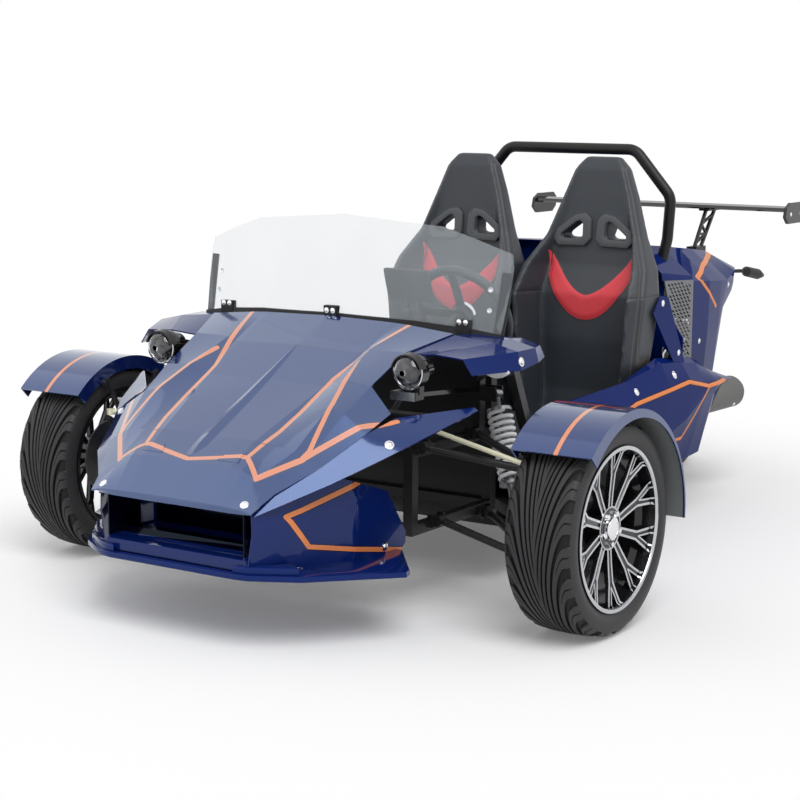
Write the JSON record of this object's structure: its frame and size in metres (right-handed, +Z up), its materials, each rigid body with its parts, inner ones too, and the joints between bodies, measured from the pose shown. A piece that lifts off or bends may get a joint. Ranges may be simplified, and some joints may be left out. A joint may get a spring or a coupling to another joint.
{
  "type": "three-wheeled car",
  "caption": "Open three-wheeled two-seat car: tube frame, faceted nose, steered front wheels under cycle fenders, driven rear wheel, roll bar and rear wing.",
  "frame": {"origin": "on the ground under the centre of the car's bounding box", "axes": "+X the car's left, -Y its front, +Z up"},
  "size_m": [2.016, 3.1685, 1.2745],
  "materials": {
    "body_blue": "deep blue metallic lacquer with orange pinstripes, gloss",
    "frame_black": "black powder coat",
    "trim_black": "black moulded plastic",
    "gloss_black": "black, gloss",
    "tyre": "black rubber",
    "rim": "gloss black with machined faces",
    "steel": "bare steel",
    "zinc": "yellow zinc",
    "spring_white": "white powder coat",
    "screen": "clear sheet",
    "leather": "black with red inserts",
    "lamp": "clear lens in black case",
    "engine": "cast"
  },
  "bodies": {
    "chassis": {"frame_front": "frame_black", "frame_floor": "frame_black", "frame_rear": "frame_black", "roll_bar": "frame_black", "floor_pan": "frame_black", "seat_rails": "frame_black", "upper_arms": "frame_black", "lower_arms": "frame_black", "struts": "steel", "springs": "spring_white", "swingarm": "frame_black", "engine": "engine", "muffler": "steel", "radiator": "steel", "hood": "body_blue", "hood_blades": "body_blue", "nose": "body_blue", "splitter": "body_blue", "cowl": "body_blue", "side_panels": "body_blue", "rear_body": "body_blue", "rear_wall": "body_blue", "windscreen": "screen", "dash": "trim_black", "display": "gloss_black", "headlamps": "lamp", "seat_left": "leather", "seat_right": "leather", "wing": "gloss_black", "wing_struts": "frame_black", "steering_rack": "steel", "steering_column": "frame_black", "plate_bracket": "trim_black", "rear_lamps": "trim_black", "screen_trim": "trim_black", "indicators": "lamp", "quarter_grilles": "steel"},
    "knuckle_assembly_left": {"knuckle_left": "steel", "fender_left": "body_blue"},
    "wheel_front_left": {"tyre_front_left": "tyre", "rim_front_left": "rim", "disc_front_left": "steel"},
    "tie_rod_body_left": {"tie_rod_left": "zinc"},
    "knuckle_assembly_right": {"knuckle_right": "steel", "fender_right": "body_blue"},
    "wheel_front_right": {"tyre_front_right": "tyre", "rim_front_right": "rim", "disc_front_right": "steel"},
    "tie_rod_body_right": {"tie_rod_right": "zinc"},
    "wheel_rear": {"tyre_rear": "tyre", "rim_rear": "rim", "disc_rear": "steel"},
    "steering_wheel_body": {"steering_wheel": "trim_black"}
  },
  "joints": [
    {"name": "steer_left", "type": "hinge", "parent": "chassis", "child": "knuckle_assembly_left", "pos_m": [0.745, -0.873, 0.298], "axis": [0, 0, 1], "range_deg": [-25, 25]},
    {"name": "spin_front_left", "type": "hinge", "parent": "knuckle_assembly_left", "child": "wheel_front_left", "pos_m": [0.876, -0.873, 0.298], "axis": [1, 0, 0], "continuous": true},
    {"name": "tie_pivot_left", "type": "hinge", "parent": "knuckle_assembly_left", "child": "tie_rod_body_left", "pos_m": [0.745, -0.983, 0.466], "axis": [0, 0, 1], "range_deg": [-25, 25]},
    {"name": "steer_right", "type": "hinge", "parent": "chassis", "child": "knuckle_assembly_right", "pos_m": [-0.745, -0.873, 0.298], "axis": [0, 0, 1], "range_deg": [-25, 25]},
    {"name": "spin_front_right", "type": "hinge", "parent": "knuckle_assembly_right", "child": "wheel_front_right", "pos_m": [-0.876, -0.873, 0.298], "axis": [1, 0, 0], "continuous": true},
    {"name": "tie_pivot_right", "type": "hinge", "parent": "knuckle_assembly_right", "child": "tie_rod_body_right", "pos_m": [-0.745, -0.983, 0.466], "axis": [0, 0, 1], "range_deg": [-25, 25]},
    {"name": "spin_rear", "type": "hinge", "parent": "chassis", "child": "wheel_rear", "pos_m": [0, 1.287, 0.298], "axis": [1, 0, 0], "continuous": true},
    {"name": "steering_wheel_turn", "type": "hinge", "parent": "chassis", "child": "steering_wheel_body", "pos_m": [0.25, -0.513, 0.8], "axis": [0, 0.8829, 0.4695], "range_deg": [-100, 100]}
  ],
  "couplings": [
    {"joint": "steer_right", "follows": "steer_left", "ratio": 1},
    {"joint": "tie_pivot_left", "follows": "steer_left", "ratio": -1},
    {"joint": "tie_pivot_right", "follows": "steer_left", "ratio": -1},
    {"joint": "steering_wheel_turn", "follows": "steer_left", "ratio": 4}
  ]
}
